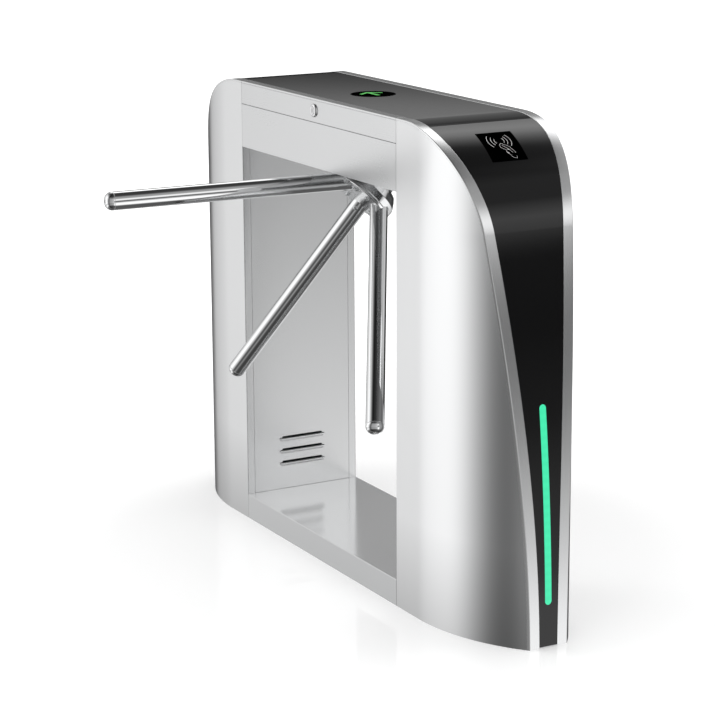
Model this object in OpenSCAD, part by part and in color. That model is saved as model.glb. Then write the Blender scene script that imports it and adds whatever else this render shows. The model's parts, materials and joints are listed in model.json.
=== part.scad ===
// Bridge-type tripod turnstile that counts visitors.
// Two columns carry a head over an open portal.  A tripod of three arms turns
// on a tilted shaft under the head, and one arm always bars the lane on the -Y side.
// Units are millimetres.  +Z is up, X runs along the cabinet, and the origin is
// on the floor in the middle of the cabinet.

/* [Cabinet] */
// overall height of the cabinet
cabinet_h = 1000; // [990:2:1010]
// width of the cabinet across its two long sides
cabinet_w = 280; // [276:1:290]
// clear width of the portal between the columns
portal_w = 684; // [676:2:692]
// height of the base rail that joins the columns
base_h = 56; // [40:1:70]
// height of the underside of the head
head_z = 855; // [850:1:858]
// height of the seam between the head and its lid
lid_z = 950; // [949:1:952]

/* [Outline] */
// radius of the crown at the top of each end
crown_r = 241; // [232:1:250]
// distance from the middle to the crown's centre
crown_x = 370; // [360:1:376]
// angle at which the crown meets the long flank
crown_end = 11.5; // [11:0.1:12]
// radius of the long flank below the crown
flank_r = 4270; // [4000:10:4600]
// radius of the column's rounded nose, seen from above
nose_r = 400; // [392:1:408]
// distance from the middle to the centre of the nose radius
nose_x = 430; // [424:1:436]

/* [Skin] */
// thickness of the steel sheets
sheet = 1.5; // [1.2:0.1:2]
// width of the bright edge trims
trim_w = 22.5; // [18:0.5:26]
// thickness of the edge trims
trim_t = 4.5; // [4:0.1:5]
// thickness of the black panels
panel_t = 4; // [3:0.1:4]
// distance from the middle to the joint between top panel and end panels
crease_x = 430; // [420:1:440]
// width of the flange around each inner wall
flange_w = 18; // [14:1:24]

/* [Tripod] */
// tilt of the hub's axis below the horizontal, and of the arms from that axis
tilt = 42; // [41:0.5:43]
// height of the point where the arm axes meet
hub_z = 821; // [819:1:823]
// distance of that point behind the middle of the cabinet
hub_y = 14; // [12:1:16]
// length of an arm from that point to its tip
arm_l = 614; // [560:1:616]
// diameter of an arm
arm_d = 38; // [32:1:38]
// turn of the tripod inside the play of its latch
arm_lag = 4; // [0:0.5:4]

/* [Fittings] */
// width of the light bar in each end
bar_w = 16; // [12:1:20]
// height of the lower end of the light bar
bar_z0 = 86; // [70:1:100]
// height of the upper end of the light bar
bar_z1 = 480; // [440:1:500]
// side of the square card reader window
reader_w = 80; // [70:1:84]
// diameter of the round indicator in the lid
indicator_d = 96; // [80:1:110]
// diameter of the floor anchor holes
anchor_d = 14; // [12:1:16]

/* [Hidden] */
$fn = 96;
fit = 0.3;
half_w = cabinet_w / 2;
half_p = portal_w / 2;
crown_z = cabinet_h - crown_r;
flank_x = crown_x + (crown_r - flank_r) * cos(crown_end);
flank_z = crown_z + (crown_r - flank_r) * sin(crown_end);
nose_y = nose_r - half_w;
panel_in = trim_t - panel_t;
reader_a = 55.5;
reader_chord = reader_w + 2;
shaft_r = 15;
bearing_r = 31;
housing_r = 40;
face_w = 54;
spigot_s = 48;
tube_s = 62;
// rounding of the arm tips
dome_r = 15;
disc_r = 44;
disc_w = 116;
pawl_x = 52;
pawl_v = 34;
pawl_l = 56;
pawl_open = 12;
lock_z = (lid_z + cabinet_h) / 2;
lip_w = 20;
tray_z = head_z + 2.5;
tray_top = tray_z + 4;
beam_z = lid_z - 30;
steel = [0.78, 0.79, 0.80];
bright = [0.86, 0.87, 0.88];
black = [0.03, 0.03, 0.035];
chrome = [0.9, 0.9, 0.92];
mint = [0.27, 0.94, 0.69];
zinc = [0.6, 0.62, 0.65];

// ---- outlines ----

// half of the side outline, +X end, moved inwards by d
module side_half(d) {
    intersection() {
        union() {
            square([crown_x, cabinet_h - d]);
            translate([crown_x, crown_z])
                circle(r = crown_r - d, $fn = 180);
            intersection() {
                translate([flank_x, flank_z])
                    circle(r = flank_r - d, $fn = 1080);
                square([1000, crown_z + (crown_r - d) * sin(crown_end)]);
            }
        }
        square([1000, cabinet_h]);
    }
}

// half of the plan outline, +X end, moved inwards by d and narrowed by t on each side
module plan_half(d, t = 0) {
    translate([0, t + d - half_w])
        square([nose_x, cabinet_w - 2 * (t + d)]);
    intersection() {
        translate([nose_x, nose_y + t])
            circle(r = nose_r - d, $fn = 240);
        translate([nose_x, -nose_y - t])
            circle(r = nose_r - d, $fn = 240);
        translate([nose_x, -half_w])
            square([400, cabinet_w]);
    }
}

// curved layer that follows the side outline between depths d0 and d1
module crown_layer(d0, d1) {
    rotate([90, 0, 0])
        linear_extrude(height = cabinet_w + 20, center = true)
            difference() {
                side_half(d0);
                side_half(d1);
            }
}

// everything inside the side outline at depth d
module crown_solid(d) {
    rotate([90, 0, 0])
        linear_extrude(height = cabinet_w + 20, center = true)
            side_half(d);
}

// places children in the frame of the tilted shaft: +Z points out of the hub
module on_axis() {
    translate([0, hub_y, hub_z])
        rotate([90 + tilt, 0, 0])
            children();
}

// places children along arm number n: +Z runs out along the arm
module on_arm(n) {
    on_axis()
        rotate([0, 0, arm_lag + n * 120])
            rotate([-tilt, 0, 0])
                children();
}

// flat strip with round ends, standing in the YZ plane and running along X
module stadium_x(w, z0, z1, x0, x1) {
    translate([x0, 0, 0])
        rotate([90, 0, 90])
            linear_extrude(height = x1 - x0) {
                translate([-w / 2, z0 + w / 2])
                    square([w, z1 - z0 - w]);
                translate([0, z0 + w / 2])
                    circle(d = w);
                translate([0, z1 - w / 2])
                    circle(d = w);
            }
}

// box in the crown at the card reader, radii r0 to r1 from the crown's centre
module reader_box(w, chord, r0, r1) {
    translate([crown_x, 0, crown_z])
        rotate([0, -reader_a, 0])
            translate([r0, -w / 2, -chord / 2])
                cube([r1 - r0, w, chord]);
}

// ---- base and frame ----

module base_rail() {
    color(steel)
        translate([-half_p + fit, 0, 0])
            rotate([90, 0, 90])
                linear_extrude(height = portal_w - 2 * fit)
                    difference() {
                        translate([-half_w, 0])
                            square([cabinet_w, base_h]);
                        translate([2 - half_w, 2])
                            square([cabinet_w - 4, base_h - 4]);
                    }
}

module foot_plates() {
    color(zinc)
        for (s = [0, 1])
            mirror([s, 0, 0])
                difference() {
                    linear_extrude(height = 8)
                        intersection() {
                            plan_half(2 * sheet + fit);
                            translate([half_p + 2, -half_w])
                                square([crown_x + crown_r + 64 - half_p, cabinet_w]);
                        }
                    for (x = [430, 560], y = [-60, 60])
                        translate([x, y, -1])
                            cylinder(d = anchor_d, h = 10);
                    translate([495, 0, -1])
                        cylinder(d = 50, h = 10);
                }
}

module square_tube(size, wall, len) {
    linear_extrude(height = len)
        difference() {
            square(size, center = true);
            square(size - 2 * wall, center = true);
        }
}

module uprights() {
    color(zinc)
        for (x = [-375, 375], y = [-112, 112])
            translate([x, y, 8])
                square_tube(40, 3, beam_z - 8);
}

module head_frame() {
    color(zinc) {
        for (y = [-122, 122])
            translate([-395, y, beam_z + 12.5])
                rotate([0, 90, 0])
                    square_tube(25, 2, 790);
        for (x = [-300, -200, 200, 300])
            translate([x, 109.4, beam_z + 12.5])
                rotate([90, 0, 0])
                    square_tube(20, 2, 218.8);
    }
}

// ---- columns ----

// outer sheet of one column side, for the +X end and the -Y side
module column_shell() {
    color(steel) {
        intersection() {
            crown_solid(trim_t);
            linear_extrude(height = cabinet_h)
                intersection() {
                    difference() {
                        plan_half(0);
                        plan_half(sheet);
                    }
                    translate([half_p + fit, -half_w])
                        square([400, half_w - 20]);
                }
        }
        translate([half_p + fit, -half_w, 0])
            cube([sheet, flange_w, head_z - 1]);
        translate([half_p + fit, sheet - half_w, 0])
            cube([30, sheet, beam_z]);
    }
}

// inner wall of a column with three louvres, for the +X end
module inner_wall() {
    color(steel)
        difference() {
            union() {
                translate([half_p + fit, flange_w + fit - half_w, base_h + 1])
                    cube([sheet, cabinet_w - 2 * (flange_w + fit), head_z - base_h - 2]);
                for (z = [117, 146, 175])
                    translate([half_p + fit, 0, z])
                        louvre_hood();
            }
            for (z = [117, 146, 175])
                translate([half_p - 2, -51, z])
                    cube([8, 102, 5]);
        }
}

// half capsule that stands out of the sheet as a scoop, open on top
module louvre_hood() {
    difference() {
        capsule_y(7, 102);
        capsule_y(5.6, 102);
        translate([0, -100, -20])
            cube([30, 200, 40]);
        translate([-20, -100, 0])
            cube([40, 200, 30]);
    }
}

module capsule_y(r, len) {
    rotate([90, 0, 0])
        cylinder(r = r, h = len, center = true);
    for (y = [-len / 2, len / 2])
        translate([0, y, 0])
            sphere(r = r);
}

// steel carrier behind the black end panel, for the +X end
module end_carrier() {
    color(zinc)
        difference() {
            intersection() {
                crown_layer(trim_t + 0.1, trim_t + 2.1);
                linear_extrude(height = cabinet_h)
                    intersection() {
                        plan_half(2 * sheet + fit);
                        translate([crease_x - 60, -half_w])
                            square([400, cabinet_w]);
                    }
            }
            stadium_x(bar_w - 2, bar_z0 + 1, bar_z1 - 1, 600, 720);
            reader_box(60, 60, crown_r - 20, crown_r + 10);
        }
}

// pair of bright bands along the edges, for the +X end
module edge_trims() {
    color(bright)
        intersection() {
            crown_layer(0, trim_t);
            linear_extrude(height = cabinet_h + 1)
                difference() {
                    plan_half(0);
                    plan_half(0, trim_w);
                    translate([-1, -half_w - 1])
                        square([half_p + fit + 1, cabinet_w + 2]);
                }
        }
}

// black end panel with its slot and window, for the +X end
module end_panel() {
    color(black)
        difference() {
            intersection() {
                crown_layer(panel_in, trim_t);
                translate([0, 0, 2])
                    linear_extrude(height = cabinet_h)
                        intersection() {
                            plan_half(0, trim_w + fit);
                            translate([crease_x + fit, -half_w])
                                square([400, cabinet_w]);
                        }
            }
            stadium_x(bar_w + 0.2, bar_z0 - 0.1, bar_z1 + 0.1, 600, 720);
            reader_box(reader_w + 0.4, reader_chord + 0.4, crown_r - 20, crown_r + 10);
        }
}

module light_bar() {
    color(mint)
        intersection() {
            crown_layer(panel_in, trim_t);
            stadium_x(bar_w, bar_z0, bar_z1, 600, 720);
        }
}

module led_boards() {
    color([0.9, 0.9, 0.85])
        for (s = [0, 1])
            mirror([s, 0, 0])
                intersection() {
                    crown_layer(trim_t + 5, trim_t + 6.6);
                    translate([600, -6, bar_z0])
                        cube([120, 12, bar_z1 - bar_z0]);
                }
}

module reader_window() {
    color([0.05, 0.05, 0.055])
        intersection() {
            crown_layer(panel_in, trim_t);
            reader_box(reader_w, reader_chord, crown_r - 20, crown_r + 10);
        }
}

module card_readers() {
    color([0.15, 0.15, 0.16])
        for (s = [0, 1])
            mirror([s, 0, 0])
                reader_box(86, 70, crown_r - 28, crown_r - 12);
}

// ---- head ----

// long sheet of the head, for the -Y side
module fascia() {
    color(steel)
        translate([fit - half_p, 0, 0])
            rotate([90, 0, 90])
                linear_extrude(height = portal_w - 2 * fit) {
                    translate([-half_w, head_z])
                        square([sheet, lid_z - head_z - fit]);
                    translate([-half_w, lid_z - fit - sheet])
                        square([lip_w, sheet]);
                }
}

module soffit_panel() {
    color(steel)
        difference() {
            translate([fit - half_p, sheet + 0.2 - half_w, head_z])
                cube([portal_w - 2 * fit, cabinet_w - 2 * sheet - 0.4, 2.5]);
            on_axis()
                cylinder(r = housing_r + 1, h = 300, center = true);
        }
}

// tray that carries the mechanism, hung from the two long beams
module mech_tray() {
    color(zinc)
        difference() {
            union() {
                translate([-174, -134, tray_z])
                    cube([348, 268, 4]);
                for (x = [-174, 170])
                    translate([x, -134, tray_top])
                        cube([4, 268, beam_z - tray_top]);
                intersection() {
                    on_axis()
                        for (x = [-52, 44])
                            translate([x, -60, -96])
                                cube([8, 96, 60]);
                    translate([-60, -100, tray_z])
                        cube([120, 240, 100]);
                }
            }
            on_axis()
                cylinder(r = housing_r + 1, h = 300, center = true);
        }
}

module bearing_housing() {
    color([0.55, 0.56, 0.58])
        on_axis()
            difference() {
                union() {
                    translate([0, 0, -100])
                        cylinder(r = housing_r, h = 106);
                    translate([-44, -10, -100])
                        cube([88, 36, 22]);
                }
                translate([0, 0, -101])
                    cylinder(r = bearing_r - 6, h = 120);
                translate([0, 0, -101])
                    cylinder(r = bearing_r, h = 17);
                translate([0, 0, -12])
                    cylinder(r = bearing_r, h = 20);
            }
}

module bearings() {
    color(chrome)
        on_axis()
            for (w = [-100, -12])
                translate([0, 0, w])
                    difference() {
                        cylinder(r = bearing_r, h = 16);
                        translate([0, 0, -1])
                            cylinder(r = shaft_r + 0.05, h = 18);
                    }
}

// plate across the end of the housing that carries pawls and solenoids
module latch_plate() {
    color(zinc)
        on_axis()
            difference() {
                translate([-150, -30, -104])
                    cube([300, 84, 4]);
                translate([0, 0, -105])
                    cylinder(r = shaft_r + 4, h = 6);
            }
}

module pawl_pins() {
    color(chrome)
        on_axis()
            for (s = [-1, 1])
                translate([s * pawl_x, pawl_v, -disc_w - 7])
                    cylinder(r = 4, h = disc_w + 7 - 104);
}

module solenoids() {
    color([0.2, 0.25, 0.6])
        on_axis()
            for (s = [0, 1])
                mirror([s, 0, 0])
                    translate([88, -33, -127])
                        difference() {
                            cube([46, 23, 23]);
                            translate([-1, 11.5, 11])
                                rotate([0, 90, 0])
                                    cylinder(r = 4, h = 48);
                        }
}

module controller_case() {
    color([0.85, 0.86, 0.84])
        translate([-320, -80, tray_z])
            cube([130, 150, 52]);
}

module power_supply() {
    color([0.7, 0.71, 0.73])
        translate([200, -70, tray_z])
            cube([110, 130, 48]);
}

module pass_counter() {
    color([0.2, 0.2, 0.2])
        translate([90, -122, tray_top])
            cube([60, 42, 30]);
}

// hooked bracket that the lock's cam turns under
module lock_keeper() {
    color(zinc)
        translate([0, -half_w, lid_z - fit - sheet]) {
            translate([16, 5.5, -2])
                cube([10, 25, 2]);
            translate([20, 24.5, -2])
                cube([2, 6, 36]);
            translate([9, 24.5, 33])
                cube([13, 6, 2]);
        }
}

// ---- lid ----

// angle that closes one long side of the lid, for the -Y side
module lid_skirt() {
    color(steel)
        translate([fit - half_p, 0, 0])
            rotate([90, 0, 90])
                linear_extrude(height = portal_w - 2 * fit) {
                    translate([-half_w, lid_z + fit])
                        square([sheet, cabinet_h - trim_t - lid_z - fit]);
                    translate([-half_w, cabinet_h - trim_t - sheet])
                        square([40, sheet]);
                }
}

module lid_skirt_front() {
    difference() {
        lid_skirt();
        translate([0, -half_w - 1, lock_z])
            rotate([-90, 0, 0])
                cylinder(r = 11, h = 10);
    }
}

module lid_trims() {
    color(bright)
        for (s = [0, 1])
            mirror([0, s, 0])
                translate([fit - half_p, -half_w, cabinet_h - trim_t])
                    cube([portal_w - 2 * fit, trim_w, trim_t]);
}

module lid_ribs() {
    color(zinc)
        for (x = [-300, -150, 150, 300])
            translate([x - 10, 40.2 - half_w, cabinet_h - trim_t - 12])
                cube([20, cabinet_w - 80.4, 12]);
}

module top_panel() {
    color(black)
        difference() {
            for (s = [0, 1])
                mirror([s, 0, 0])
                    intersection() {
                        crown_layer(panel_in, trim_t);
                        translate([0, trim_w + fit - half_w, 900])
                            cube([crease_x - fit, cabinet_w - 2 * (trim_w + fit), 101]);
                    }
            translate([0, 0, cabinet_h - 10])
                cylinder(d = indicator_d + 0.3, h = 20);
        }
}

module indicator_window() {
    color([0.02, 0.02, 0.02])
        difference() {
            translate([0, 0, cabinet_h - trim_t])
                cylinder(d = indicator_d, h = panel_t + 0.2);
            translate([0, 0, cabinet_h - 1])
                linear_extrude(height = 3)
                    arrow_shape();
        }
}

// arrow that points along -X, the way a visitor walks in the lane
module arrow_shape() {
    translate([-20, -4])
        square([44, 8]);
    polygon([[-30, 0], [-12, -26], [-2.3, -26], [-20.3, 0], [-2.3, 26], [-12, 26]]);
}

module arrow_lens() {
    color([0.3, 0.9, 0.4])
        translate([0, 0, cabinet_h - 1])
            linear_extrude(height = 0.7)
                arrow_shape();
}

module lock_housing() {
    color(chrome)
        translate([0, -half_w, lock_z])
            rotate([-90, 0, 0])
                difference() {
                    union() {
                        translate([0, 0, -4.5])
                            cylinder(r = 14.5, h = 4.5);
                        cylinder(r = 11, h = 18);
                    }
                    translate([0, 0, -6])
                        cylinder(r = 8.05, h = 26);
                }
}

module lock_plug() {
    color(chrome)
        translate([0, -half_w, lock_z])
            rotate([-90, 0, 0])
                difference() {
                    translate([0, 0, -5])
                        cylinder(r = 8, h = 31);
                    translate([-1, -4.5, -6])
                        cube([2, 9, 10]);
                }
}

module lock_cam() {
    color(zinc)
        translate([0, 26 - half_w, lock_z])
            rotate([-90, 0, 0])
                linear_extrude(height = 3)
                    union() {
                        circle(r = 8);
                        translate([-4, 0])
                            square([8, 18]);
                    }
}

// ---- tripod ----

module hub() {
    color(chrome)
        difference() {
            on_axis()
                rotate_extrude()
                    polygon([[0, 16], [54, 16], [60, 24], [68, 38], [68, face_w], [0, face_w]]);
            on_axis()
                cylinder(r = shaft_r, h = 44);
            arm_bores();
            hub_bolt_holes();
        }
}

// stepped holes for the spigots and the ends of the arm tubes
module arm_bores() {
    for (n = [0:2])
        on_arm(n) {
            translate([0, 0, spigot_s])
                cylinder(d = arm_d - 3, h = 30);
            translate([0, 0, tube_s])
                cylinder(d = arm_d, h = 80);
        }
}

// places children at the six bolts, in pairs between the arms
module at_hub_bolts() {
    on_axis()
        for (a = [30:120:270], b = [-18, 18])
            rotate([0, 0, arm_lag + a + b])
                translate([47, 0, face_w])
                    children();
}

module hub_bolt_holes() {
    at_hub_bolts()
        translate([0, 0, -14])
            cylinder(r = 3, h = 30);
}

// round face plate with softened rim
module hub_cover() {
    color(chrome)
        difference() {
            on_axis()
                translate([0, 0, face_w])
                    rotate_extrude()
                        polygon([[0, 0], [68, 0], [70, 2], [70, 6], [68, 8], [0, 8]]);
            arm_bores();
            hub_bolt_holes();
        }
}

module hub_bolts() {
    color(zinc)
        at_hub_bolts() {
            translate([0, 0, -12])
                cylinder(r = 3, h = 20);
            translate([0, 0, 8])
                difference() {
                    cylinder(r = 5.5, h = 3.5);
                    translate([0, 0, 1.5])
                        cylinder(r = 2.6, h = 4, $fn = 6);
                }
        }
}

module shaft() {
    color(chrome)
        on_axis() {
            translate([0, 0, -127])
                cylinder(r = shaft_r, h = 171);
            translate([0, 0, -disc_w + 4])
                cylinder(r = shaft_r + 3, h = 11);
            translate([0, 0, 6.5])
                cylinder(r = 24, h = 9.5);
        }
}

// disc with six wide notches that the pawls drop into
module index_disc() {
    color(zinc)
        on_axis()
            rotate([0, 0, arm_lag])
                translate([0, 0, -disc_w - 4])
                    difference() {
                        cylinder(r = disc_r, h = 8);
                        translate([0, 0, -1])
                            cylinder(r = shaft_r, h = 10);
                        for (a = [0:60:300])
                            rotate([0, 0, a])
                                translate([36, -9.5, -1])
                                    cube([20, 19, 10]);
                    }
}

module shaft_nut() {
    color(zinc)
        on_axis()
            translate([0, 0, -disc_w - 10.5])
                difference() {
                    cylinder(r = 21, h = 6.5, $fn = 6);
                    translate([0, 0, -1])
                        cylinder(r = shaft_r, h = 9);
                }
}

// solid spigots that hold the arm tubes in the hub
module arm_sockets() {
    color(steel)
        for (n = [0:2])
            on_arm(n)
                translate([0, 0, spigot_s])
                    cylinder(d = arm_d - 3, h = 80);
}

module arm(n) {
    color(chrome)
        on_arm(n)
            translate([0, 0, tube_s])
                difference() {
                    cylinder(d = arm_d, h = arm_l - tube_s - dome_r - 1);
                    translate([0, 0, -1])
                        cylinder(d = arm_d - 3, h = arm_l);
                }
}

// domed plugs in the ends of the arms
module arm_caps() {
    color(chrome)
        for (n = [0:2])
            on_arm(n) {
                translate([0, 0, arm_l - dome_r - 15])
                    cylinder(d = arm_d - 3, h = 14);
                translate([0, 0, arm_l - dome_r - 1])
                    rotate_extrude()
                        difference() {
                            union() {
                                square([arm_d / 2 - dome_r, dome_r + 1]);
                                square([arm_d / 2, 1]);
                                translate([arm_d / 2 - dome_r, 1])
                                    intersection() {
                                        circle(r = dome_r);
                                        square(dome_r);
                                    }
                            }
                            translate([0, dome_r])
                                square([2.5, 2]);
                        }
            }
}

// ---- latch ----

// lever with a nose, at rest swung clear of the disc, for the +X side
module pawl() {
    color(zinc)
        on_axis()
            translate([pawl_x, pawl_v, -disc_w - 4])
                rotate([0, 0, pawl_open])
                    difference() {
                        union() {
                            cylinder(r = 9, h = 8);
                            translate([-5, -pawl_l - 1.5, 0])
                                cube([10, pawl_l + 1.5, 8]);
                            translate([-13.5, -pawl_v - 4.5, 0])
                                cube([9, 9, 8]);
                        }
                        translate([0, 0, -1])
                            cylinder(r = 4.05, h = 10);
                    }
}

// rod of a solenoid with its push button, for the +X side
module plunger() {
    color(chrome)
        on_axis()
            translate([0, -21.5, -disc_w]) {
                translate([72.5, 0, 0])
                    rotate([0, 90, 0])
                        cylinder(r = 3.95, h = 55);
                translate([69.5, 0, 0])
                    rotate([0, 90, 0])
                        cylinder(r = 5, h = 3);
            }
}

base_rail();
foot_plates();
uprights();
head_frame();
column_shell();  // shell_front_right
mirror([0, 1, 0]) column_shell();  // shell_rear_right
mirror([1, 0, 0]) column_shell();  // shell_front_left
rotate([0, 0, 180]) column_shell();  // shell_rear_left
inner_wall();  // inner_wall_right
mirror([1, 0, 0]) inner_wall();  // inner_wall_left
end_carrier();  // end_carrier_right
mirror([1, 0, 0]) end_carrier();  // end_carrier_left
edge_trims();  // edge_trims_right
mirror([1, 0, 0]) edge_trims();  // edge_trims_left
end_panel();  // end_panel_right
mirror([1, 0, 0]) end_panel();  // end_panel_left
light_bar();  // light_bar_right
mirror([1, 0, 0]) light_bar();  // light_bar_left
led_boards();
reader_window();  // reader_window_right
mirror([1, 0, 0]) reader_window();  // reader_window_left
card_readers();
fascia();  // fascia_front
mirror([0, 1, 0]) fascia();  // fascia_rear
soffit_panel();
mech_tray();
bearing_housing();
bearings();
latch_plate();
pawl_pins();
solenoids();
controller_case();
power_supply();
pass_counter();
lock_keeper();
lid_skirt_front();
mirror([0, 1, 0]) lid_skirt();  // lid_skirt_rear
lid_trims();
lid_ribs();
top_panel();
indicator_window();
arrow_lens();
lock_housing();
lock_plug();
lock_cam();
hub();
hub_cover();
hub_bolts();
shaft();
index_disc();
shaft_nut();
arm_sockets();
arm(0);  // arm_1
arm(1);  // arm_2
arm(2);  // arm_3
arm_caps();
pawl();  // pawl_right
mirror([1, 0, 0]) pawl();  // pawl_left
plunger();  // plunger_right
mirror([1, 0, 0]) plunger();  // plunger_left
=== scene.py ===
"""Looks of the visitor counter turnstile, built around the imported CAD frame.

Metres, +Z up, the long side of the cabinet along X, the lane on the -Y side.
"""
import json
import math

import bmesh
import bpy
from mathutils import Matrix, Vector


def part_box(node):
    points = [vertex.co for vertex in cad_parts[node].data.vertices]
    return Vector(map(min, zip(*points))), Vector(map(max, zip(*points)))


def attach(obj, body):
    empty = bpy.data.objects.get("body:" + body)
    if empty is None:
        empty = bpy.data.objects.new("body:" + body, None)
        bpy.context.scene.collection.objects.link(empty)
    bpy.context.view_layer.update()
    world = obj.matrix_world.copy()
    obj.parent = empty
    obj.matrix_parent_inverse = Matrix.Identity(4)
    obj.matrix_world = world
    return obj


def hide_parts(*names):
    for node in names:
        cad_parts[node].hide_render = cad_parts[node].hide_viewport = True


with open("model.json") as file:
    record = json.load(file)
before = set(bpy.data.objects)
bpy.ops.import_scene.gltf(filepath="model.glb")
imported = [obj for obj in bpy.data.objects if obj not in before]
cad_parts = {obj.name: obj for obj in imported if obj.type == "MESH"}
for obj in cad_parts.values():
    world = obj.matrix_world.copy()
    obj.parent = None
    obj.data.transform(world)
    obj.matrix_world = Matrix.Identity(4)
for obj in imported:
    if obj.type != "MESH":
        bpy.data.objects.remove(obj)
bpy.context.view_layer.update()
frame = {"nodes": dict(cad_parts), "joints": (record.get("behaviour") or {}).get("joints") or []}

# ---------------------------------------------------------------- sizes
MM = 0.001
FIT = 0.3 * MM                         # gap between two sheets
MERGE = 1e-7                           # points nearer than this are one point

rail_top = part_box("base_rail")[1]
trim_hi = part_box("edge_trims_right")[1]
fascia_lo, fascia_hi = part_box("fascia_front")
HALF_P = rail_top.x + FIT              # column face at the portal
BASE_TOP = rail_top.z
HALF_W = trim_hi.y
TOP = trim_hi.z
HEAD_Z = fascia_lo.z
SEAM_Z = fascia_hi.z

# side outline: crown arc, then a long flank arc down to the floor
CROWN_R = 241 * MM
CROWN_X = 370 * MM
CROWN_END = math.radians(11.5)
FLANK_R = 4270 * MM
CROWN_Z = TOP - CROWN_R
FLANK_X = CROWN_X + (CROWN_R - FLANK_R) * math.cos(CROWN_END)
FLANK_Z = CROWN_Z + (CROWN_R - FLANK_R) * math.sin(CROWN_END)
# plan outline: straight sides that run into a nose arc
NOSE_R = 400 * MM
NOSE_X = 430 * MM

TRIM_W = 22.5 * MM
TRIM_T = 4.5 * MM                      # thickness of the trims
PANEL_D = 0.5 * MM                     # the black panels lie this far below the trims
CREASE_X = 430 * MM                    # lid panel ends and end panel begins here
SHEET = 1.5 * MM
FLANGE_W = 18 * MM                     # column sheet's border beside the inner wall
FOLD_R = 0.8 * MM

bar_lo, bar_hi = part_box("light_bar_right")
window_lo, window_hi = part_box("reader_window_right")
READER_A = math.radians(55.5)          # where the reader window lies on the crown arc
READER_HALF_V = 41 * MM                # half the window's length down the slope
READER_W = window_hi.y - window_lo.y

turn = next(j for j in frame["joints"] if j["name"] == "tripod_turn")
ARM_L = 614 * MM                       # from the point where the arms' axes meet
ARM_R = 19 * MM
ARM_LAG = math.radians(4)              # turn of the stored tripod within the latch's play
TUBE_S = 62 * MM                       # start of the tubes, from the same point
CAP_L = 16 * MM                        # the tubes end and their caps begin this far from the tip
DOME_R = 15 * MM
PLUG_R = 7.9 * MM                      # lock plug, turning in its housing


# ---------------------------------------------------------------- mesh helpers
class Builder:
    """Collects surfaces in one mesh."""

    def __init__(self):
        """Starts with an empty mesh."""
        self.bm = bmesh.new()

    def skin(self, rings, closed=True, caps=True):
        """Quads between rings of points that all have the same count."""
        rows = [[self.bm.verts.new(p) for p in ring] for ring in rings]
        count = len(rows[0])
        last = count if closed else count - 1
        for low, high in zip(rows, rows[1:]):
            for i in range(last):
                j = (i + 1) % count
                self.bm.faces.new((low[i], low[j], high[j], high[i]))
        if caps and closed:
            self.bm.faces.new(rows[0][::-1])
            self.bm.faces.new(rows[-1])
        return self

    def lathe(self, profile, place, segments=96):
        """Turned body: profile holds (radius, height), from axis to axis or closed."""
        rows = []
        for radius, height in profile:
            if radius < MERGE:
                rows.append([self.bm.verts.new(place @ Vector((0, 0, height)))])
                continue
            row = []
            for k in range(segments):
                a = 2 * math.pi * k / segments
                point = Vector((radius * math.cos(a), radius * math.sin(a), height))
                row.append(self.bm.verts.new(place @ point))
            rows.append(row)
        for low, high in zip(rows, rows[1:]):
            for k in range(segments):
                j = (k + 1) % segments
                corner = [low[k % len(low)], low[j % len(low)],
                          high[j % len(high)], high[k % len(high)]]
                unique = list(dict.fromkeys(corner))
                if len(unique) > 2:
                    self.bm.faces.new(unique)
        return self

    def block(self, lo, hi, radius=0.0008, segments=2, place=None):
        """Box with rounded edges."""
        part = bmesh.new()
        bmesh.ops.create_cube(part, size=1)
        size = Vector(hi) - Vector(lo)
        middle = (Vector(hi) + Vector(lo)) / 2
        for v in part.verts:
            v.co = Vector((v.co.x * size.x, v.co.y * size.y, v.co.z * size.z)) + middle
        bmesh.ops.bevel(part, geom=list(part.edges), offset=radius, segments=segments,
                        profile=0.5, affect="EDGES", clamp_overlap=True)
        self.take(part, place)
        return self

    def take(self, part, place=None):
        """Moves another bmesh into this one."""
        if place is not None:
            part.transform(place)
        mesh = bpy.data.meshes.new("part")
        part.to_mesh(mesh)
        part.free()
        self.bm.from_mesh(mesh)
        bpy.data.meshes.remove(mesh)
        return self

    def mirrored(self, x=1, y=1):
        """Flips the whole mesh across the YZ or XZ plane."""
        for v in self.bm.verts:
            v.co.x *= x
            v.co.y *= y
        return self

    def done(self, name, material, body="cabinet", stands_for=(), slot=None, sharp=32,
             other=None, where=None):
        """Makes the object; faces for which where() is true get the other material."""
        bmesh.ops.remove_doubles(self.bm, verts=self.bm.verts, dist=MERGE)
        bmesh.ops.recalc_face_normals(self.bm, faces=self.bm.faces)
        mesh = bpy.data.meshes.new(name)
        self.bm.to_mesh(mesh)
        self.bm.free()
        mesh.shade_smooth()
        mesh.set_sharp_from_angle(angle=math.radians(sharp))
        mesh.materials.append(material)
        if other:
            mesh.materials.append(other)
            for face in mesh.polygons:
                face.material_index = int(where(face))
        obj = bpy.data.objects.new(name, mesh)
        bpy.context.scene.collection.objects.link(obj)
        even = obj.modifiers.new("even_normals", "WEIGHTED_NORMAL")
        even.mode = "FACE_AREA"
        even.weight = 100
        even.keep_sharp = True
        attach(obj, body)
        if stands_for:
            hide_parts(*stands_for)
        return obj


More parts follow.
